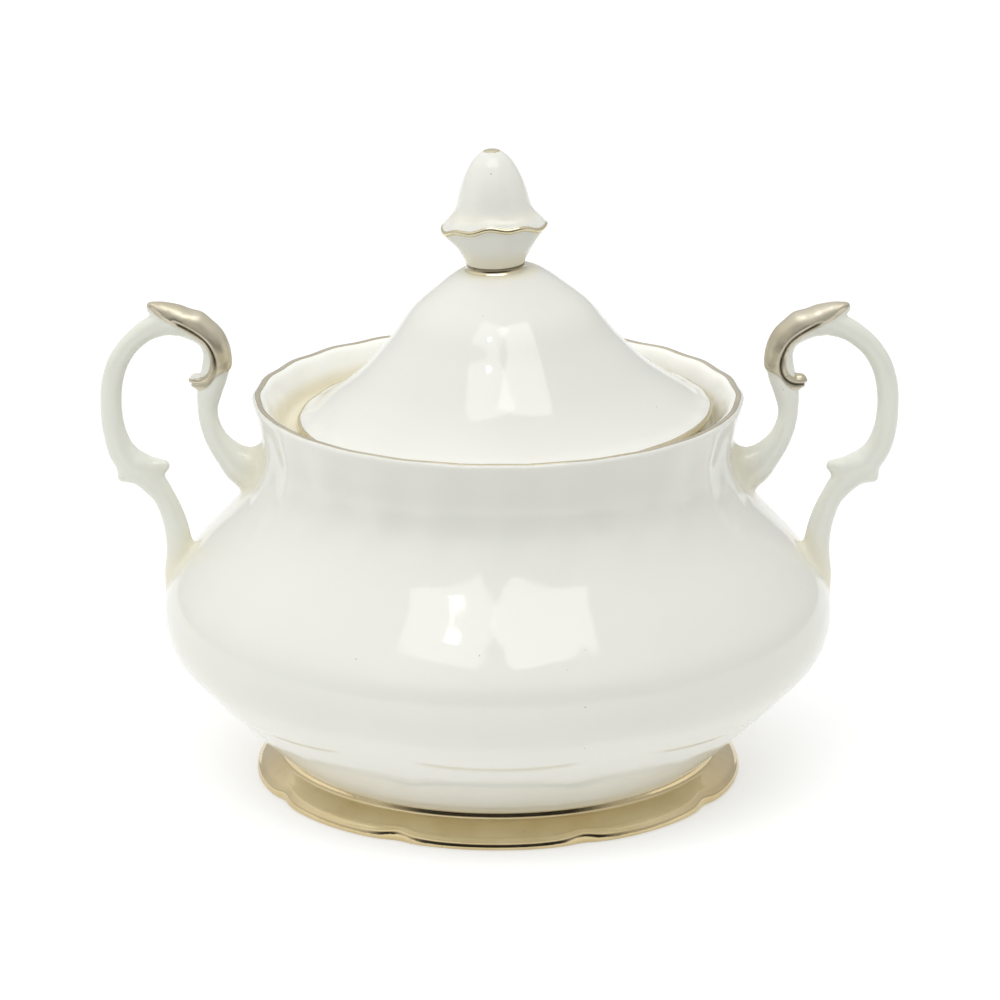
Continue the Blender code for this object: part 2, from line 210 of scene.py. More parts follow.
def surface_nets(field, origin, step):
    """The skin where a sampled field is zero: one point in each cell that the skin crosses."""
    inside = field < 0
    nx, ny, nz = field.shape
    corners = [(i, j, k) for i in (0, 1) for j in (0, 1) for k in (0, 1)]
    edges = [(a, b) for a in range(8) for b in range(a + 1, 8)
             if sum(abs(corners[a][n] - corners[b][n]) for n in range(3)) == 1]

    def corner(array, c):
        i, j, k = corners[c]
        return array[i:nx - 1 + i, j:ny - 1 + j, k:nz - 1 + k]

    total = sum(corner(inside, c).astype(np.int8) for c in range(8))
    cells = np.argwhere((total > 0) & (total < 8))
    number = np.full((nx - 1, ny - 1, nz - 1), -1, np.int64)
    number[tuple(cells.T)] = np.arange(len(cells))
    values = np.array([corner(field, c)[tuple(cells.T)] for c in range(8)])
    places = np.zeros((len(cells), 3))
    crossings = np.zeros(len(cells))
    for a, b in edges:
        crossed = (values[a] < 0) != (values[b] < 0)
        t = np.where(crossed, values[a] / np.where(crossed, values[a] - values[b], 1), 0)
        start, end = np.array(corners[a], float), np.array(corners[b], float)
        places += np.where(crossed[:, None], start + t[:, None] * (end - start), 0)
        crossings += crossed
    points = (cells + places / crossings[:, None]) * step + origin
    faces = []
    for axis in range(3):
        u, v = (axis + 1) % 3, (axis + 2) % 3
        ahead = [slice(None)] * 3
        ahead[axis] = slice(1, None)
        behind = [slice(None)] * 3
        behind[axis] = slice(None, -1)
        first, second = inside[tuple(behind)], inside[tuple(ahead)]
        for flip, mask in ((False, first & ~second), (True, ~first & second)):
            at = np.argwhere(mask)
            at = at[(at[:, u] > 0) & (at[:, u] < field.shape[u] - 1)]
            at = at[(at[:, v] > 0) & (at[:, v] < field.shape[v] - 1)]
            around = []
            for du, dv in ((-1, -1), (0, -1), (0, 0), (-1, 0)):
                cell = at.copy()
                cell[:, u] += du
                cell[:, v] += dv
                around.append(number[tuple(cell.T)])
            quads = np.column_stack(around)
            faces.append(quads[:, ::-1] if flip else quads)
    return points, np.vstack(faces)


def sample(field, points, origin, step):
    """The field's value at each point, read between the samples."""
    place = (points - origin) / step
    low = np.clip(np.floor(place).astype(int), 0, np.array(field.shape) - 2)
    t = place - low
    value = 0
    for i in (0, 1):
        for j in (0, 1):
            for k in (0, 1):
                weight = (np.where(i, t[:, 0], 1 - t[:, 0]) * np.where(j, t[:, 1], 1 - t[:, 1])
                          * np.where(k, t[:, 2], 1 - t[:, 2]))
                value = value + weight * field[low[:, 0] + i, low[:, 1] + j, low[:, 2] + k]
    return value


def clip_to(piece, values):
    """Keeps the part of a piece's mesh where the values are above zero, with a smooth cut edge."""
    nearly_zero = 1e-5
    mesh = bmesh.new()
    mesh.from_mesh(piece.data)
    mesh.verts.ensure_lookup_table()
    value = {vertex: float(values[vertex.index]) for vertex in mesh.verts}
    for vertex in value:
        if abs(value[vertex]) < nearly_zero:
            value[vertex] = nearly_zero
    cuts = set()
    for edge in list(mesh.edges):
        a, b = edge.verts
        if (value[a] > 0) != (value[b] > 0):
            t = value[a] / (value[a] - value[b])
            _, vertex = bmesh.utils.edge_split(edge, a, t)
            value[vertex] = 0.0
            cuts.add(vertex)
    for face in list(mesh.faces):
        on_cut = [vertex for vertex in face.verts if vertex in cuts]
        if len(on_cut) == 2:
            try:
                bmesh.utils.face_split(face, on_cut[0], on_cut[1])
            except ValueError:
                pass
    outside = [face for face in mesh.faces if min(value[vertex] for vertex in face.verts) < 0]
    bmesh.ops.delete(mesh, geom=outside, context="FACES")
    loose = [vertex for vertex in mesh.verts if not vertex.link_faces]
    bmesh.ops.delete(mesh, geom=loose, context="VERTS")
    mesh.to_mesh(piece.data)
    mesh.free()
    return piece


def film_over(name, line, spacing, steps, shape):
    """A thin closed film along a stretch of a turned outline, just proud of the china under it."""
    line = spaced(line, spacing)
    above = offset_line(line, -FILM_ABOVE)
    below = offset_line(line, FILM_BELOW)
    return revolve(name, np.vstack([above, below[::-1]]), steps, shape, ring=True)


def points_of(piece):
    """A piece's mesh points in design millimetres."""
    return np.array([vertex.co for vertex in piece.data.vertices]) / MM


def thin_film(piece):
    """Makes an open skin a thin closed film that stands just proud of the china under it."""
    solid = piece.modifiers.new("film", "SOLIDIFY")
    solid.thickness = (FILM_ABOVE + FILM_BELOW) * MM
    solid.offset = 2 * FILM_ABOVE / (FILM_ABOVE + FILM_BELOW) - 1


# ---- materials --------------------------------------------------------------------------------------

WHITE = (0.79, 0.79, 0.735)
# Painted light: a lighter white that brightens the shaded seat and the inside of the bowl.
SEAT_PAINTED_LIGHT = (0.93, 0.93, 0.87)
# Cream for pooled glaze, also used as painted shade in hollows and joins.
POOL_AND_SHADE_CREAM = (0.84, 0.77, 0.55)
SPECK = (0.45, 0.40, 0.31)
WORN_METAL = (0.40, 0.34, 0.24)
# Painted shade: near-black mixed into the metal in the scroll's groove and on the finial's neck band.
CREASE_SHADE = (0.035, 0.026, 0.014)


def new_material(name):
    """A new material, its node tree and its Principled shader."""
    material = bpy.data.materials.new(name)
    material.use_nodes = True
    tree = material.node_tree
    return material, tree, tree.nodes["Principled BSDF"]


def node_of(tree, kind, place, **settings):
    """A new node at a place in the tree, with its settings."""
    made = tree.nodes.new(kind)
    made.location = place
    for key, value in settings.items():
        setattr(made, key, value)
    return made


def colour_mix(tree, place, factor, first, second):
    """Mixes two colours, each a socket or a colour, by a socket."""
    mix = node_of(tree, "ShaderNodeMix", place, data_type="RGBA")
    tree.links.new(factor, mix.inputs[0])
    for slot, value in ((mix.inputs[6], first), (mix.inputs[7], second)):
        if isinstance(value, tuple):
            slot.default_value = (*value, 1)
        else:
            tree.links.new(value, slot)
    return mix.outputs[2]


def range_of(tree, place, value, low, high, to_low=0.0, to_high=1.0):
    """Maps a socket's range onto another, held at its ends."""
    mapped = node_of(tree, "ShaderNodeMapRange", place, interpolation_type="SMOOTHSTEP")
    tree.links.new(value, mapped.inputs["Value"])
    mapped.inputs["From Min"].default_value = low
    mapped.inputs["From Max"].default_value = high
    mapped.inputs["To Min"].default_value = to_low
    mapped.inputs["To Max"].default_value = to_high
    return mapped.outputs["Result"]


def product_of(tree, place, first, second):
    """Multiplies two sockets."""
    made = node_of(tree, "ShaderNodeMath", place, operation="MULTIPLY")
    tree.links.new(first, made.inputs[0])
    tree.links.new(second, made.inputs[1])
    return made.outputs[0]


def attribute(tree, place, name):
    """One of the numbers that set_field keeps."""
    return node_of(tree, "ShaderNodeAttribute", place, attribute_name=name).outputs["Fac"]


def noise(tree, place, coordinates, scale, detail=2.0):
    """Cloudy noise, about 1 / scale metres across."""
    made = node_of(tree, "ShaderNodeTexNoise", place)
    tree.links.new(coordinates, made.inputs["Vector"])
    made.inputs["Scale"].default_value = scale
    made.inputs["Detail"].default_value = detail
    return made.outputs["Fac"]


def specks(tree, place, coordinates):
    """A few kiln specks, each about a third of a millimetre across, in one cell of ten."""
    x, y = place
    cells = node_of(tree, "ShaderNodeTexVoronoi", place)
    tree.links.new(coordinates, cells.inputs["Vector"])
    cells.inputs["Scale"].default_value = 300.0
    chosen = node_of(tree, "ShaderNodeSeparateColor", (x + 200, y))
    tree.links.new(cells.outputs["Color"], chosen.inputs["Color"])
    in_cell = range_of(tree, (x + 400, y), chosen.outputs["Red"], 0.90, 0.92)
    dot = range_of(tree, (x + 400, y - 200), cells.outputs["Distance"], 0.030, 0.055, 1.0, 0.0)
    return product_of(tree, (x + 600, y), in_cell, dot)


def uneven(colour, factors):
    """The same colour where the glaze or the film is a little thicker."""
    return tuple(part * factor for part, factor in zip(colour, factors))


def finish_surface(tree, shader, place, roughness, gloss, bump):
    """Sets an uneven gloss and a fine bump. gloss and bump give their noise and their strength."""
    gloss_scale, least, most = gloss
    bump_scale, detail, strength, distance = bump
    rough = range_of(tree, (-650, -600), noise(tree, (-900, -600), place, gloss_scale), 0.3, 0.7,
                     roughness * least, roughness * most)
    tree.links.new(rough, shader.inputs["Roughness"])
    bumps = node_of(tree, "ShaderNodeBump", (-250, -400))
    bumps.inputs["Strength"].default_value = strength
    bumps.inputs["Distance"].default_value = distance
    tree.links.new(noise(tree, (-650, -850), place, bump_scale, detail), bumps.inputs["Height"])
    tree.links.new(bumps.outputs["Normal"], shader.inputs["Normal"])


def china_material(name, white, roughness=0.07):
    """Glazed bone china: a warm white under a clear wet gloss, lightened as painted light where the seat
    field is set, and yellowed where the glaze pools, partly real and partly painted shade.
    """
    material, tree, shader = new_material(name)
    place = node_of(tree, "ShaderNodeTexCoord", (-1400, 0)).outputs["Object"]
    cloud = range_of(tree, (-900, -100), noise(tree, (-1150, -100), place, 28.0), 0.35, 0.7)
    body = colour_mix(tree, (-650, 0), cloud, white, uneven(white, (0.975, 0.978, 0.965)))
    # Painted light: the seat field lightens the china where it lies in shade.
    seat_lit = colour_mix(tree, (-550, 300), attribute(tree, (-1400, 500), "seat"), body, SEAT_PAINTED_LIGHT)
    # Yellowed where the glaze pools, and darkened there as painted shade.
    pooled_and_shaded = colour_mix(tree, (-450, 100), attribute(tree, (-1400, 300), "pool"), seat_lit, POOL_AND_SHADE_CREAM)
    speckled = colour_mix(tree, (-250, 100), specks(tree, (-1150, -350), place), pooled_and_shaded, SPECK)
    tree.links.new(speckled, shader.inputs["Base Color"])
    finish_surface(tree, shader, place, roughness, (90.0, 0.8, 1.3), (160.0, 1.0, 0.12, 0.0004))
    shader.inputs["IOR"].default_value = 1.53
    shader.inputs["Subsurface Weight"].default_value = 0.12
    shader.inputs["Subsurface Radius"].default_value = (1.0, 0.85, 0.6)
    shader.inputs["Subsurface Scale"].default_value = 0.0015
    return material


def metal_material(name, colour, roughness=0.14):
    """Fired metal film: a warm silver with brush drift and thin worn spots, darkened by painted shade in its
    grooves and bands.
    """
    material, tree, shader = new_material(name)
    place = node_of(tree, "ShaderNodeTexCoord", (-1400, 0)).outputs["Object"]
    drift = range_of(tree, (-900, 0), noise(tree, (-1150, 0), place, 120.0), 0.3, 0.7)
    tone = colour_mix(tree, (-650, 0), drift, colour, uneven(colour, (0.93, 0.90, 0.84)))
    thin = range_of(tree, (-900, -250), noise(tree, (-1150, -250), place, 900.0, 3.0), 0.70, 0.76)
    worn = colour_mix(tree, (-400, 0), thin, tone, WORN_METAL)
    # Painted shade: the field darkens the metal to near-black where it is set.
    crease_shaded = colour_mix(tree, (-250, 100), attribute(tree, (-650, 250), "crease"), worn, CREASE_SHADE)
    tree.links.new(crease_shaded, shader.inputs["Base Color"])
    finish_surface(tree, shader, place, roughness, (260.0, 0.75, 1.4), (420.0, 2.0, 0.15, 0.0002))
    shader.inputs["Metallic"].default_value = 1.0
    return material


CHINA = {
    "bowl_china": china_material("bowl_glaze", WHITE),
    "foot_china": china_material("foot_glaze", WHITE, 0.12),
    "handle_china": china_material("handle_glaze", (0.78, 0.785, 0.715)),
    "lid_china": china_material("lid_glaze", (0.79, 0.79, 0.74)),
    "finial_china": china_material("finial_glaze", (0.81, 0.81, 0.75)),
}
METALS = {
    "foot": metal_material("foot_metal", (0.70, 0.58, 0.35), 0.09),
    "handle": metal_material("handle_metal", (0.65, 0.605, 0.49), 0.4),
    "rim": metal_material("rim_metal", (0.66, 0.61, 0.48), 0.2),
    "lid": metal_material("lid_metal", (0.70, 0.62, 0.42), 0.18),
    "finial": metal_material("finial_metal", (0.72, 0.655, 0.47)),
}


def dress(piece, slot, body, *nodes):
    """Gives a piece its material, picked by its slot, and its body, and hides the CAD nodes that it stands
    for.

    A metal piece takes the metal that its name begins with.
    """
    if slot == "fired_metal":
        material = METALS[piece.name.split("_")[0]]
    else:
        material = CHINA[slot]
    piece.data.materials.append(material)
    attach(piece, body)
    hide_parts(*nodes)


# ---- the bowl ---------------------------------------------------------------------------------------

def bowl_outer_line():
    """The bowl's outer side, from the foot up to the lip."""
    return smooth_line([
        (JOIN_RADIUS, JOIN_HEIGHT),
        (54.0, 15.6),
        (62.0, 23.7),
        (65.6, 28.4),
        (BELLY_RADIUS, 34.0),
        (65.7, 39.8),
        (61.1, 46.0),
        (53.0, 55.0),
        (48.3, 62.0),
        (46.7, 68.0),
        (47.6, 73.4),
        (48.6, RIM_HEIGHT - 0.9),
    ], 24)


OUTER = bowl_outer_line()


def lip_line():
    """Over the lip, from the inner slope out to the neck's top."""
    return smooth_line([
        (44.6, 74.9),
        (46.0, RIM_HEIGHT - 0.7),
        (46.9, RIM_HEIGHT + 0.1),
        (47.8, RIM_HEIGHT + 0.3),
        (48.5, RIM_HEIGHT + 0.1),
        (48.75, RIM_HEIGHT - 0.4),
        (48.6, RIM_HEIGHT - 0.9),
    ], 8)


def petal_edge(height, angle):
    """The height above a petal's curved lower edge, and how strong that edge is there."""
    spacing = 2 * np.pi / PETALS
    across = np.degrees((angle + spacing / 2) % spacing - spacing / 2)
    return height - 20.9 - 1.6 * (across / 19.0) ** 2, ramp(np.abs(across), 18.5, 11.0)


def petal_step(height, angle):
    """The low relief on the bowl's taper: eight petals, each proud above its curved lower edge."""
    above, strength = petal_edge(height, angle)
    return 0.32 * strength * ramp(above, -1.0, 1.0) * ramp(above, 9.0, 1.0)


def bowl_shape(radii, heights, angles):
    """The neck's flutes, the rim's waves and the petal relief."""
    outside = radii > np.interp(heights, OUTER[:, 1], OUTER[:, 0]) - 1.2
    wave = np.cos(NECK_FLUTES * angles)
    flute_end = 56.0 + 1.6 * np.abs(np.sin(NECK_FLUTES * angles / 2))
    flute = np.where(outside, ramp(heights, flute_end, flute_end + 6.0), ramp(heights, 72.5, 77.0))
    flute = flute * (radii > SEAT_RADIUS)
    at_rim = ramp(heights, RIM_HEIGHT - 5.0, RIM_HEIGHT) * (radii > SEAT_RADIUS)
    depth = FLUTE_DEPTH + (RIM_FLUTE_DEPTH - FLUTE_DEPTH) * at_rim
    petal = np.where(outside & (heights < 40.0), petal_step(heights, angles), 0)
    new_radii = radii + depth * flute * wave + 0.75 * petal
    new_heights = heights + 0.08 * at_rim * wave - 0.65 * petal
    return new_radii, new_heights


def bowl_lines():
    """The bowl's whole outline in stretches: inside, lip, outside and underside."""
    wall = offset_line(OUTER, -WALL)
    wall = wall[(wall[:, 1] > 14.0) & (wall[:, 1] < 62.0)]
    floor = smooth_line([(0.0, 8.6), (18.0, 8.6), (34.0, 8.8), (42.0, 9.9), (46.5, 12.0), tuple(wall[0])], 8)
    throat = smooth_line([
        tuple(wall[-1]), (43.8, 65.0), (41.6, 67.6), (38.8, 69.0), (37.6, 69.7), (37.4, 70.5), (37.6, 71.3),
        (38.3, 71.75), (39.4, 71.8), (41.6, 71.8), (42.7, 72.1), (43.5, 73.0), (44.6, 74.9),
    ], 6)
    underside = smooth_line([
        (JOIN_RADIUS, JOIN_HEIGHT), (40.0, 5.9), (36.0, 5.9), (20.0, 6.2), (0.0, 6.3),
    ], 6)
    return floor[:-1], wall, throat[1:], lip_line()[1:], OUTER[::-1][1:], underside[1:]


def skin_depth(points):
    """How far inside the bowl's outer side each point is, measured level."""
    return np.interp(points[:, 2], OUTER[:, 1], OUTER[:, 0]) - np.hypot(points[:, 0], points[:, 1])


def bowl_pool_and_shade(points):
    """Where the glaze pools and yellows, partly as painted shade: in the seat, by the handles and the foot,
    and under the petals.
    """
    depth = skin_depth(points)
    pool = 0.9 * ramp(depth, 1.4, 2.4) * ramp(points[:, 2], RIM_HEIGHT - 2.4, RIM_HEIGHT - 5.6)
    by_handles = (np.abs(points[:, 0]) > 36) & (np.abs(points[:, 1]) < 18) & (depth < 2)
    x, y, z = np.abs(points[by_handles]).T
    pool[by_handles] += join_pool_and_shade(handle_distance(x, y, z), 0 * x)
    above, strength = petal_edge(points[:, 2], np.arctan2(points[:, 1], points[:, 0]))
    outside = depth < 1.0
    # Glaze pooled under each petal's edge, darkened further as painted shade.
    pool += 0.15 * strength * outside * np.exp(-((above + 0.3) / 0.7) ** 2)
    # Painted shade: darker and warmer towards the foot's junction.
    pool += 0.5 * outside * ramp(points[:, 2], 9.5, 6.2)
    return np.clip(pool, 0, 1)


def seat_painted_light(points):
    """Painted light: a lighter white on the wall that the lid's edge sits in, and on the bowl below the
    ledge, which lie in shade.
    """
    depth = skin_depth(points)
    radii = np.hypot(points[:, 0], points[:, 1])
    wall = (radii > 41.0) * ramp(points[:, 2], 70.8, 72.5)
    inside = ramp(points[:, 2], 71.0, 70.0) * ramp(points[:, 2], 7.5, 8.2)
    return ramp(depth, 0.8, 1.6) * np.maximum(wall, inside)


def make_bowl():
    outline = spaced(np.vstack(bowl_lines()), 0.42)
    piece = revolve("bowl_body", outline, ROUND_STEPS, bowl_shape)
    points = points_of(piece)
    set_field(piece, "pool", bowl_pool_and_shade(points))
    set_field(piece, "seat", seat_painted_light(points))
    dress(piece, "bowl_china", "bowl", "bowl_shell")


def make_rim_line():
    """The metal line on the rim's crest."""
    line = lip_line()
    line = line[(line[:, 0] > 47.05) & (line[:, 0] < 48.25) & (line[:, 1] > RIM_HEIGHT - 0.5)]
    film = film_over("rim_line", line, 0.2, ROUND_STEPS, bowl_shape)
    dress(film, "fired_metal", "bowl", "rim_band")


# ---- the foot ---------------------------------------------------------------------------------------

def foot_shape(radii, heights, angles):
    """The foot's eight lobes: a narrow notch between them cuts into the cone along its own slope."""
    from_front = np.degrees(angles) + 90 - FOOT_TURN
    notches = 0
    for notch in FOOT_NOTCHES:
        away = (from_front - notch + 180) % 360 - 180
        notches = notches + 0.65 * np.exp(-(away / 3.5) ** 2) + 0.35 * np.exp(-(away / 9.0) ** 2)
    inward = NOTCH_DEPTH * ramp(radii, JOIN_RADIUS + 1.6, FOOT_RADIUS - 0.6) * notches
    return radii - inward, heights + CONE_SLOPE * inward * np.clip(heights / CONE_END, 0, 1)


def foot_flare():
    """The foot's outer side: a tight fillet, a straight cone and a rolled edge."""
    return smooth_line([
        (JOIN_RADIUS + 0.05, JOIN_HEIGHT + 0.15),
        (JOIN_RADIUS + 0.15, JOIN_HEIGHT - 0.25),
        (JOIN_RADIUS + 0.3, JOIN_HEIGHT - 0.8),
        (JOIN_RADIUS + 0.6, JOIN_HEIGHT - 1.2),
        (JOIN_RADIUS + 1.3, JOIN_HEIGHT - 1.7),
        (46.3, 3.26),
        (47.6, 2.4),
        (FOOT_RADIUS - 0.5, CONE_END),
        (FOOT_RADIUS - 0.24, 1.42),
        (FOOT_RADIUS - 0.14, 1.15),
        (FOOT_RADIUS - 0.04, 0.75),
        (FOOT_RADIUS, 0.5),
        (FOOT_RADIUS - 0.08, 0.28),
        (FOOT_RADIUS - 0.35, 0.1),
    ], 8)


def make_foot():
    flare = foot_flare()
    sole_and_inside = smooth_line([
        tuple(flare[-1]), (FOOT_RADIUS - 0.9, 0.02), (FOOT_RADIUS - 2.0, 0.0), (FOOT_RADIUS - 3.6, 0.0),
        (FOOT_RADIUS - 4.6, 0.35), (43.0, 1.6), (40.8, 3.6), (38.6, 5.2), (36.8, 5.9), (36.0, 6.6),
    ], 6)
    outline = spaced(np.vstack([flare[:-1], sole_and_inside]), 0.35)
    core = revolve("foot_core", outline, ROUND_STEPS, foot_shape, ring=True)
    set_field(core, "pool", np.zeros(len(core.data.vertices)))
    dress(core, "foot_china", "bowl", "foot_ring")
    film = film_over("foot_lustre", flare, 0.2, ROUND_STEPS, foot_shape)
    dress(film, "fired_metal", "bowl", "foot_gilding")


# ---- the handles ------------------------------------------------------------------------------------

# Centrelines of the right handle's members: (x, z, radius).
HANDLE_ARM = [
    (43.0, 62.0, 5.2), (47.6, 62.4, 4.8), (50.6, 63.3, 4.0), (53.2, 65.4, 3.0), (55.8, 68.6, 2.3),
    (57.3, 72.2, 2.0), (57.7, 75.6, 2.05), (57.2, 79.2, 2.5), (56.1, 82.8, 2.6), (55.8, 86.4, 2.6),
    (57.0, 89.8, 2.6), (60.0, 92.3, 2.7),
]
HANDLE_LOOP = [
    (60.0, 92.3, 2.7), (64.5, 93.2, 2.7), (68.8, 91.9, 2.25), (71.8, 90.0, 2.1), (74.2, 87.6, 2.05),
    (76.2, 84.2, 2.1), (77.3, 80.0, 2.15), (77.5, 75.5, 2.15), (77.0, 71.0, 2.3), (75.6, 67.0, 2.55),
    (72.8, 63.6, 2.9), (69.5, 60.7, 2.7), (66.8, 57.1, 2.2), (65.1, 53.2, 2.3), (64.1, 49.0, 2.5),
    (63.9, 45.0, 2.6), (64.2, 41.4, 2.6), (64.3, 38.8, 1.8),
]
HANDLE_SPUR = [(63.6, 93.5, 2.7), (66.4, 95.0, 1.9), (68.8, 96.0, 0.9)]
HANDLE_VOLUTE = [(56.0, 84.4, 2.4), (56.9, 82.2, 1.9), (58.4, 80.9, 1.5), (59.9, 81.2, 1.35)]
HANDLE_HOOK = [(71.5, 63.3, 2.5), (68.6, 62.9, 2.1), (66.7, 63.4, 1.2)]
HANDLE_KNUCKLE = [(72.0, 63.2, 2.7), (73.6, 62.2, 2.2), (74.7, 61.3, 1.3)]
HANDLE_MEMBERS = [HANDLE_ARM, HANDLE_LOOP, HANDLE_SPUR, HANDLE_VOLUTE, HANDLE_HOOK, HANDLE_KNUCKLE]

# The scroll's metal, as (x, z): its edge towards the finger loop, its edge towards the bowl, and a corner
# on each side beyond the scroll, to close the outline.
SCROLL_INNER_EDGE = [
    (70.4, 97.2), (67.6, 95.0), (65.0, 93.6), (62.3, 92.0), (59.9, 90.4), (58.1, 88.7), (57.1, 86.7),
    (57.0, 84.7), (57.7, 82.9), (59.0, 82.0), (60.6, 81.6), (62.2, 81.6),
]
SCROLL_OUTER_EDGE = [
    (62.2, 79.2), (60.5, 79.3), (58.6, 79.7), (57.1, 80.8), (56.0, 82.2), (54.9, 83.1), (53.0, 83.6),
    (50.0, 84.0),
]
SCROLL_OUTSIDE = [(50.0, 99.0), (71.0, 99.0)]

# The groove between the scroll's outer leaf and its volute.
SCROLL_GROOVE = [
    (65.0, 94.3), (62.4, 93.0), (60.0, 91.6), (57.9, 89.9), (56.6, 87.9), (56.0, 85.7), (56.1, 83.5),
    (57.2, 81.7), (59.0, 80.7), (61.0, 80.6),
]
VOLUTE_TIP = (60.4, 81.4, 1.9)
SCROLL_RAISED = 0.2
GROOVE_DEPTH = 0.5
GROOVE_WIDTH = 0.3
LEAF_WIDTH = 3.3
HANDLE_FLATNESS = 0.88
HANDLE_STEP = 0.25
LEFT_LOOP_CLOSER = 0.6

# How a handle meets the bowl: its fillet, how far its foot sinks in, and how far its skin spreads.
JOIN_BLEND = 2.6
JOIN_SINKS = 1.1
JOIN_REACH = 5.0


def nearest_on(line, x, z):
    """For each place: the in-plane distance to a tapered line, and the line's radius there."""
    best = np.full(x.shape, np.inf)
    reach = np.zeros(x.shape)
    radius = np.zeros(x.shape)
    for (ax, az, ar), (bx, bz, br) in zip(line[:-1], line[1:]):
        run = (bx - ax) ** 2 + (bz - az) ** 2
        t = np.clip(((x - ax) * (bx - ax) + (z - az) * (bz - az)) / run, 0, 1)
        distance = np.hypot(x - ax - t * (bx - ax), z - az - t * (bz - az))
        local = ar + t * (br - ar)
        closer = distance - local < best
        best = np.where(closer, distance - local, best)
        reach = np.where(closer, distance, reach)
        radius = np.where(closer, local, radius)
    return reach, radius


def inside_outline(outline, x, z):
    """The in-plane distance to a closed outline, above zero inside it."""
    inside = np.zeros(x.shape, bool)
    nearest = np.full(x.shape, np.inf)
    for (ax, az), (bx, bz) in zip(outline, np.roll(outline, -1, axis=0)):
        run = (bx - ax) ** 2 + (bz - az) ** 2
        t = np.clip(((x - ax) * (bx - ax) + (z - az) * (bz - az)) / run, 0, 1)
        nearest = np.minimum(nearest, np.hypot(x - ax - t * (bx - ax), z - az - t * (bz - az)))
        if az != bz:
            crosses = (az > z) != (bz > z)
            inside ^= crosses & (x < ax + (bx - ax) * (z - az) / (bz - az))
    return np.where(inside, nearest, -nearest)


def scroll_field(x, z):
    """Above zero where a handle's scroll is metalled: over its leaf, and down the volute's edge."""
    inner_edge, outer_edge = smooth_line(SCROLL_INNER_EDGE, 4), smooth_line(SCROLL_OUTER_EDGE, 4)
    return inside_outline(np.vstack([inner_edge, outer_edge, SCROLL_OUTSIDE]), x, z)


def leaf_field(x, z):
    """The in-plane distance from the groove into the scroll's outer leaf, above zero in the leaf."""
    groove, lower_edge = smooth_line(SCROLL_GROOVE[:7], 4), smooth_line(SCROLL_OUTER_EDGE[4:], 4)
    return inside_outline(np.vstack([groove, lower_edge, SCROLL_OUTSIDE]), x, z)


def groove_field(x, z):
    """1 along the middle of the scroll's groove, falling to 0 beside it and at its upper end."""
    line = smooth_line(SCROLL_GROOVE, 6)
    away, _ = nearest_on(np.column_stack([line, np.ones(len(line))]), x, z)
    return ramp(x, 65.0, 62.5) * np.exp(-(away / GROOVE_WIDTH) ** 2)


def handle_distance(x, y, z):
    """The distance field of a handle: its members blended together, and the scroll's leaf over them."""
    field = None
    for member in HANDLE_MEMBERS:
        reach, radius = nearest_on(smooth_line(member, 10), x, z)
        distance = np.sqrt(reach ** 2 + (y / HANDLE_FLATNESS) ** 2) - radius
        field = distance if field is None else smooth_union(field, distance, 1.0)
        if member is HANDLE_ARM:
            flat = reach - radius
        elif member in (HANDLE_LOOP, HANDLE_SPUR):
            flat = np.minimum(flat, reach - radius)
    leaf = leaf_field(x, z)
    half_width = LEAF_WIDTH - 1.1 * ramp(z, 88.0, 83.5) - 1.9 * ramp(x, 62.0, 69.0)
    roof = (np.sqrt(y ** 2 + 0.6) + 0.3 * leaf + 0.06 * leaf ** 2 - half_width) / 1.15
    cap = -smooth_union(-roof, 0.1 - flat, 1.6)
    field = smooth_union(field, np.maximum(cap, -leaf), 0.4)
    return field - SCROLL_RAISED * ramp(scroll_field(x, z), -0.1, 0.5) + GROOVE_DEPTH * groove_field(x, z)


def bowl_distance(x, y, z):
    """About how far a place is outside the bowl's skin."""
    outer = np.interp(z, OUTER[:, 1], OUTER[:, 0])
    slope = np.interp(z, OUTER[:, 1], np.gradient(OUTER[:, 0], OUTER[:, 1]))
    radii, _ = bowl_shape(outer, z, np.arctan2(y, x))
    return (np.hypot(x, y) - radii) / np.sqrt(1 + slope ** 2)


def join_pool_and_shade(handle, skin):
    """The warm glaze that gathers where a handle meets the bowl, darkened there as painted shade."""
    return 0.45 * ramp(np.hypot(np.maximum(handle, 0), np.maximum(skin, 0)), 6.0, 0.2)


def handle_skin():
    """The right handle's skin, blended onto the bowl: its points, its faces and its pooled glaze with painted
    shade.
    """
    low, high = np.array([43.5, -9.0, 34.0]), np.array([81.0, 9.0, 98.5])
    counts = np.ceil((high - low) / HANDLE_STEP).astype(int) + 1
    axes = [low[k] + HANDLE_STEP * np.arange(counts[k]) for k in range(3)]
    x, y, z = axes[0][:, None, None], axes[1][None, :, None], axes[2][None, None, :]
    handle = handle_distance(x + 0 * z, y, z + 0 * x)
    skin = bowl_distance(x + 0 * y + 0 * z, y + 0 * x + 0 * z, z + 0 * x + 0 * y) + 0 * handle
    sunk = skin + 0.35 * ramp(handle, 1.5, 4.5) + 6.0 * ramp(z, 70.0, 76.0)
    field = smooth_union(handle, sunk, JOIN_BLEND)
    field = np.maximum(field, -(skin + JOIN_SINKS))
    field = np.maximum(field, handle - JOIN_REACH)
    points, faces = surface_nets(field, low, HANDLE_STEP)
    gradient = np.stack(np.gradient(field, HANDLE_STEP), axis=-1)
    for _ in range(2):
        value = sample(field, points, low, HANDLE_STEP)
        slope = np.column_stack([sample(gradient[..., k], points, low, HANDLE_STEP) for k in range(3)])
        points = points - slope * (value / np.maximum((slope ** 2).sum(axis=1), 0.2))[:, None]
    pool = join_pool_and_shade(sample(handle, points, low, HANDLE_STEP), sample(skin, points, low, HANDLE_STEP))
    return points, faces, pool


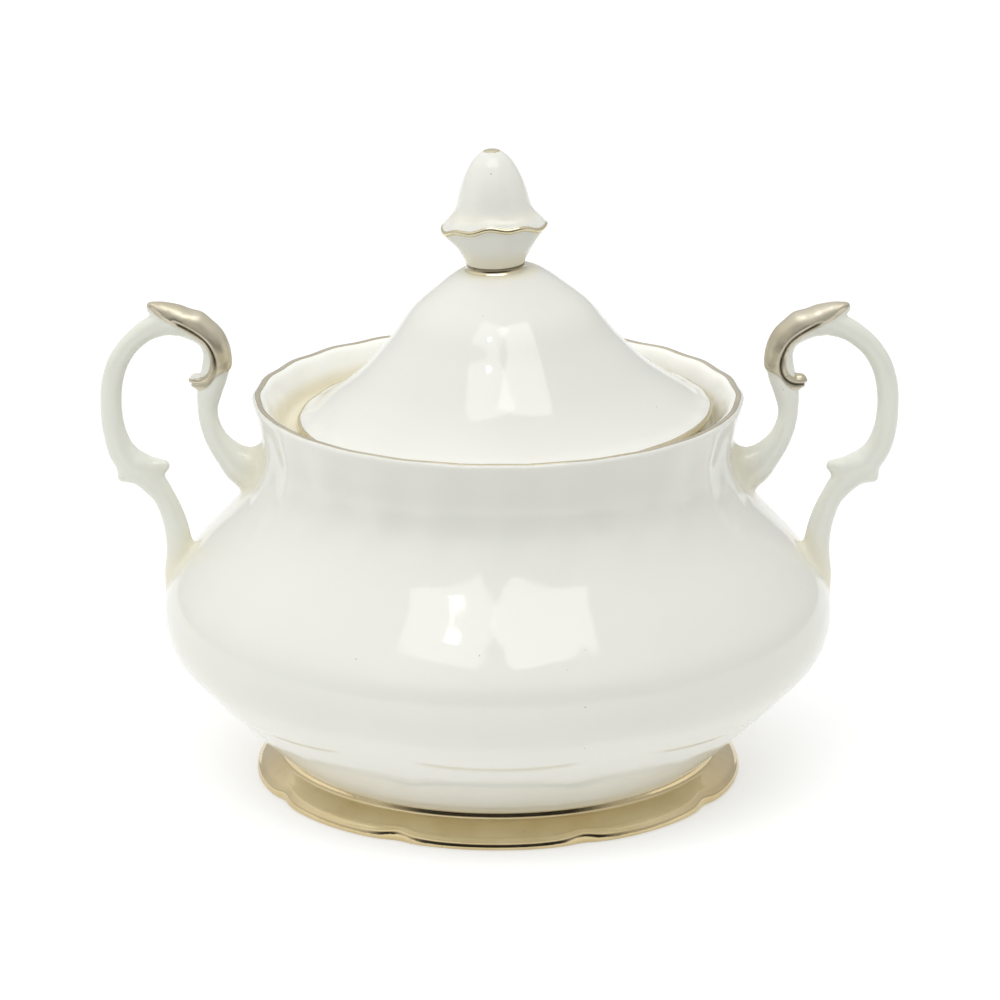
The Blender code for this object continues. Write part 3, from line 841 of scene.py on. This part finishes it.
def make_handle(name, points, faces, pool, metalled, crease):
    """One handle's china and its metal film."""
    piece = new_piece(f"handle_{name}_body", points, faces)
    set_field(piece, "pool", pool)
    gilding = new_piece(f"handle_{name}_lustre", points, faces)
    set_field(gilding, "crease", crease)
    thin_film(clip_to(gilding, metalled))
    dress(piece, "handle_china", "bowl", f"handle_{name}")
    dress(gilding, "fired_metal", "bowl", f"handle_{name}_gilding")


def make_handles():
    """The two handles: one shape mirrored, with the small differences of handles finished by hand."""
    points, faces, pool = handle_skin()
    x, z = points[:, 0], points[:, 2]
    metalled = scroll_field(x, z)
    # Painted shade: the scroll's groove is darkened in the metal's colour, fading on the left volute.
    crease = groove_field(x, z)
    closer = LEFT_LOOP_CLOSER * ramp(x, 66.0, 76.0) * ramp(z, 62.0, 70.0)
    left_points = (points - closer[:, None] * [1, 0, 0]) * [-1, 1, 1]
    make_handle("left", left_points, faces[:, ::-1], pool, metalled, crease * ramp(z, 82.0, 86.5))
    tip_x, tip_z, tip_radius = VOLUTE_TIP
    on_tip = tip_radius - np.hypot(x - tip_x, z - tip_z)
    make_handle("right", points, faces, pool, np.maximum(metalled, on_tip), crease)


# ---- the lid, in its own frame: its axis is Z and its edge is at height 0 ---------------------------

DOME_SEAT = 29.6
FLANGE_RADIUS = 35.2
FINIAL_SPACING = 0.12


def dome_line():
    """The dome's outer side, from its top down round the lid's edge."""
    return smooth_line([
        (0.0, DOME_SEAT + 0.4),
        (4.0, DOME_SEAT + 0.3),
        (7.4, DOME_SEAT - 0.1),
        (10.0, 28.1),
        (13.3, 25.5),
        (18.0, 21.4),
        (23.0, 14.9),
        (29.6, 7.9),
        (37.2, 2.3),
        (40.0, 0.95),
        (LID_RADIUS - 0.25, 0.45),
        (LID_RADIUS - 0.1, 0.0),
        (LID_RADIUS - 0.25, -0.5),
        (LID_RADIUS - 0.8, -0.9),
    ], 10)


def lid_shape(radii, heights, angles):
    """The lid's edge is a little wavy, as fired china is."""
    outward = ramp(radii, 36.5, 40.5)
    wave = 0.5 * np.cos(NECK_FLUTES * angles) + 0.5 * np.cos(7 * angles + 1.3)
    return radii + 0.08 * outward * wave, heights + 0.10 * outward * wave


def make_lid():
    """The lid and the metal line on its edge."""
    dome = dome_line()
    under = smooth_line([
        tuple(dome[-1]), (38.0, -1.0), (36.2, -1.1), (FLANGE_RADIUS + 0.15, -1.8), (FLANGE_RADIUS, -4.5),
        (FLANGE_RADIUS - 0.1, -7.0), (FLANGE_RADIUS - 0.6, -8.0), (FLANGE_RADIUS - 1.4, -8.2),
        (FLANGE_RADIUS - 2.4, -7.6), (FLANGE_RADIUS - 2.7, -4.5), (FLANGE_RADIUS - 3.0, -1.4), (31.0, 2.2),
        (26.6, 6.6), (21.2, 12.6), (16.4, 18.8), (11.4, 23.2), (6.0, 25.8), (0.0, 26.6),
    ], 8)
    outline = spaced(np.vstack([dome[:-1], under]), 0.4)
    piece = revolve("lid_body", outline, ROUND_STEPS, lid_shape)
    points = points_of(piece)
    radii = np.hypot(points[:, 0], points[:, 1])
    # Pooled glaze with painted shade: under the lid's edge and round the foot of the finial.
    under_edge = ramp(points[:, 2], -0.4, -1.4)
    round_finial = ramp(np.abs(radii - 6.6), 2.2, 0.3) * (points[:, 2] > 28)
    set_field(piece, "pool", np.clip(0.45 * under_edge + 0.5 * round_finial, 0, 1))
    edge = dome[(dome[:, 0] > LID_RADIUS - 0.7) & (dome[:, 1] < 2.0) & (dome[:, 1] > -0.75)]
    return piece, film_over("lid_edge_line", edge, 0.15, ROUND_STEPS, lid_shape)


def finial_outer():
    """The acorn, its waved collar and its stem, from the tip down."""
    return smooth_line([
        (0.0, 53.75),
        (1.2, 53.62),
        (2.4, 53.0),
        (3.8, 51.6),
        (4.8, 50.0),
        (5.6, 48.4),
        (6.2, 46.8),
        (6.75, 45.0),
        (7.15, 43.3),
        (7.6, 42.0),
        (8.3, 41.0),
        (9.4, 40.0),
        (10.0, 39.3),
        (10.4, 38.9),
        (10.5, 38.5),
        (10.2, 38.1),
        (9.5, 37.2),
        (8.4, 35.7),
        (7.2, 33.8),
        (6.3, 32.2),
        (5.85, 31.2),
        (5.7, 30.6),
        (5.8, 30.1),
        (6.1, 29.7),
        (6.3, 29.2),
    ], 8)


def finial_shape(radii, heights, angles):
    """The collar's waves and slightly oval plan. Its sides hang lower than its front, the left one lowest."""
    outward = ramp(radii, 7.2, 10.2)
    waves = 0.28 * np.cos(COLLAR_WAVES * angles + 0.84)
    hang = 0.2 + 0.2 * np.cos(angles) - 0.75 * np.cos(2 * angles)
    oval = 1 - 0.12 * outward * np.sin(angles) ** 2
    return (radii + 0.1 * outward * waves) * oval, heights + outward * (waves + hang)


def make_finial_body(outer):
    """The finial's china, which yellows down its stem and in the groove above its collar, as pooled glaze and
    painted shade.
    """
    outline = np.vstack([spaced(outer, 0.22), [(0.0, outer[-1, 1])]])
    body = revolve("finial_body", outline, SMALL_STEPS, finial_shape)
    heights = points_of(body)[:, 2]
    pool = 0.55 * ramp(heights, 35.5, 31.5) + 0.2 * ramp(np.abs(heights - 41.2), 1.6, 0.2)
    set_field(body, "pool", np.clip(pool, 0, 1))
    return body


def make_tip(outer):
    """The dab of metal on the acorn's tip, which is closed on the axis."""
    line = spaced(outer[outer[:, 1] > 53.45], FINIAL_SPACING)
    above = offset_line(line, -FILM_ABOVE)
    above[0] = (0.0, line[0, 1] + FILM_ABOVE)
    below = offset_line(line, FILM_BELOW)
    below[0] = (0.0, line[0, 1] - FILM_BELOW)
    return revolve("finial_tip_dab", np.vstack([above, below[::-1]]), SMALL_STEPS, finial_shape)


def make_finial():
    """The finial's china and its three metal films."""
    outer = finial_outer()
    body = make_finial_body(outer)
    on_collar = outer[(outer[:, 0] > 10.15) & (outer[:, 1] > 37.9)]
    collar = film_over("finial_collar_line", on_collar, FINIAL_SPACING, SMALL_STEPS, finial_shape)
    on_neck = outer[(outer[:, 1] < 31.1) & (outer[:, 1] > 29.6)]
    neck = film_over("finial_neck_line", on_neck, FINIAL_SPACING, SMALL_STEPS, finial_shape)
    # Painted reflection: the top of the neck band is darkened where it would mirror the dark room.
    set_field(neck, "crease", 0.75 * ramp(points_of(neck)[:, 2], 30.1, 30.6))
    return body, collar, neck, make_tip(outer)


def make_lid_group():
    """Makes the lid's pieces upright, then sets them in the seat as the frame says."""
    lid, band = make_lid()
    body, collar, neck, tip = make_finial()
    finial_place = FINIAL_SHIFT * MM * Vector((math.cos(LID_TILT), 0, math.sin(LID_TILT)))
    for piece in (body, collar, neck, tip):
        piece.location = finial_place
    for piece in (lid, band, body, collar, neck, tip):
        piece.rotation_euler.y = -LID_TILT
        piece.location += LID_CENTRE
    dress(lid, "lid_china", "lid", "lid_shell")
    dress(band, "fired_metal", "lid", "lid_edge_band")
    dress(body, "finial_china", "lid", "finial")
    dress(collar, "fired_metal", "lid", "finial_collar_band")
    dress(neck, "fired_metal", "lid", "finial_neck_band")
    dress(tip, "fired_metal", "lid", "finial_tip_spot")


# ---- the studio -------------------------------------------------------------------------------------

CAMERA_DISTANCE = 1.0487
CAMERA_ELEVATION = 17.51
CAMERA_LENS = 188.8
AIM_HEIGHT = 0.0562
AIM_SIDE = 0.0004

FLOOR_REACH = 3.0
FLOOR_DARK_FROM = -0.75
FLOOR_PALE_FROM = -0.2
# Painted light: the floor's glow, and its darker paper far in front where light would fall off.
PAINTED_DARK_PAPER = (0.10, 0.10, 0.10)
PALE_PAPER = (0.62, 0.62, 0.615)
PAPER_PAINTED_GLOW = (0.46, 0.46, 0.46)
BLACK = (0.0, 0.0, 0.0)

# The soft lights: degrees round from the front, degrees up, distance and size in metres, and strength.
SOFT_LIGHTS = [
    ("softbox_left", -29, 66, 1.0, (0.42, 0.42), 1.4),
    ("softbox_right", 28, 66, 1.0, (0.46, 0.42), 1.7),
    ("lamp", -25, 60, 0.9, (0.06, 0.06), 5.0),
]
KEY_LIGHT = ("key", -30, 48, 1.2, (0.9, 0.9), 0.7)


def make_floor():
    """A matt paper floor that glows a little as painted light, so that its shadows stay pale. Its paper and
    its glow fade to dark in front, as painted fall-off of the light.
    """
    mesh = bpy.data.meshes.new("floor")
    corners = [(x * FLOOR_REACH, y * FLOOR_REACH, 0) for x, y in ((-1, -1), (1, -1), (1, 1), (-1, 1))]
    mesh.from_pydata(corners, [], [(0, 1, 2, 3)])
    floor = bpy.data.objects.new("floor", mesh)
    bpy.context.scene.collection.objects.link(floor)
    floor.location.z = CAD_BOX[0].z
    material, tree, shader = new_material("floor_paper")
    place = node_of(tree, "ShaderNodeTexCoord", (-1000, 0)).outputs["Object"]
    parts = node_of(tree, "ShaderNodeSeparateXYZ", (-800, 0))
    tree.links.new(place, parts.inputs["Vector"])
    lit = range_of(tree, (-600, 0), parts.outputs["Y"], FLOOR_DARK_FROM, FLOOR_PALE_FROM)
    paper = colour_mix(tree, (-300, 100), lit, PAINTED_DARK_PAPER, PALE_PAPER)
    painted_glow = colour_mix(tree, (-300, -200), lit, BLACK, PAPER_PAINTED_GLOW)
    tree.links.new(paper, shader.inputs["Base Color"])
    tree.links.new(painted_glow, shader.inputs["Emission Color"])
    shader.inputs["Emission Strength"].default_value = 1.0
    shader.inputs["Roughness"].default_value = 0.9
    shader.inputs["Specular IOR Level"].default_value = 0.1
    mesh.materials.append(material)


def studio_light(name, side, height, distance, size, radiance, reflected=True):
    """A soft rectangular light. side and height are its direction from the object, in degrees."""
    side, height = math.radians(side), math.radians(height)
    level = Vector((math.sin(side), -math.cos(side), 0)) * math.cos(height)
    way = level + Vector((0, 0, math.sin(height)))
    data = bpy.data.lights.new(name, "AREA")
    data.shape = "RECTANGLE"
    data.size, data.size_y = size
    data.energy = radiance * size[0] * size[1] * 4
    light = bpy.data.objects.new(name, data)
    bpy.context.scene.collection.objects.link(light)
    light.location = Vector((0, 0, AIM_HEIGHT)) + way * distance
    light.rotation_euler = way.to_track_quat("Z", "Y").to_euler()
    light.visible_glossy = reflected


def make_world():
    """A white room, brightest overhead and on the left, and dark low down in front."""
    world = bpy.data.worlds.new("studio")
    bpy.context.scene.world = world
    world.use_nodes = True
    tree = world.node_tree
    background = tree.nodes["Background"]
    way = node_of(tree, "ShaderNodeTexCoord", (-1000, 0)).outputs["Generated"]
    parts = node_of(tree, "ShaderNodeSeparateXYZ", (-800, 0))
    tree.links.new(way, parts.inputs["Vector"])
    upward = range_of(tree, (-600, 200), parts.outputs["Z"], -0.1, 0.9, 0.55, 0.95)
    sideways = range_of(tree, (-600, 0), parts.outputs["X"], -1.0, 1.0, 1.12, 0.88)
    in_front = range_of(tree, (-600, -200), parts.outputs["Y"], -0.82, -0.38, 1.0, 0.0)
    low_down = range_of(tree, (-600, -400), parts.outputs["Z"], 0.24, 0.6, 0.95, 0.0)
    shade = node_of(tree, "ShaderNodeMath", (-200, -300), operation="SUBTRACT")
    shade.inputs[0].default_value = 1.0
    tree.links.new(product_of(tree, (-400, -300), in_front, low_down), shade.inputs[1])
    room = product_of(tree, (-400, 100), upward, sideways)
    tree.links.new(product_of(tree, (-50, 0), room, shade.outputs[0]), background.inputs["Strength"])
    background.inputs["Color"].default_value = (1.0, 1.0, 0.995, 1)


def make_camera():
    data = bpy.data.cameras.new("camera")
    data.lens = CAMERA_LENS
    data.sensor_width = 36.0
    camera = bpy.data.objects.new("camera", data)
    bpy.context.scene.collection.objects.link(camera)
    elevation = math.radians(CAMERA_ELEVATION)
    back = Vector((0, -math.cos(elevation), math.sin(elevation)))
    camera.location = Vector((AIM_SIDE, 0, AIM_HEIGHT)) + back * CAMERA_DISTANCE
    camera.rotation_euler = (-back).to_track_quat("-Z", "Y").to_euler()
    bpy.context.scene.camera = camera


def make_studio():
    make_world()
    for light in SOFT_LIGHTS:
        studio_light(*light)
    studio_light(*KEY_LIGHT, reflected=False)
    make_camera()
    bpy.context.scene.view_settings.view_transform = "Standard"


make_bowl()
make_rim_line()
make_foot()
make_handles()
make_lid_group()
make_floor()
make_studio()
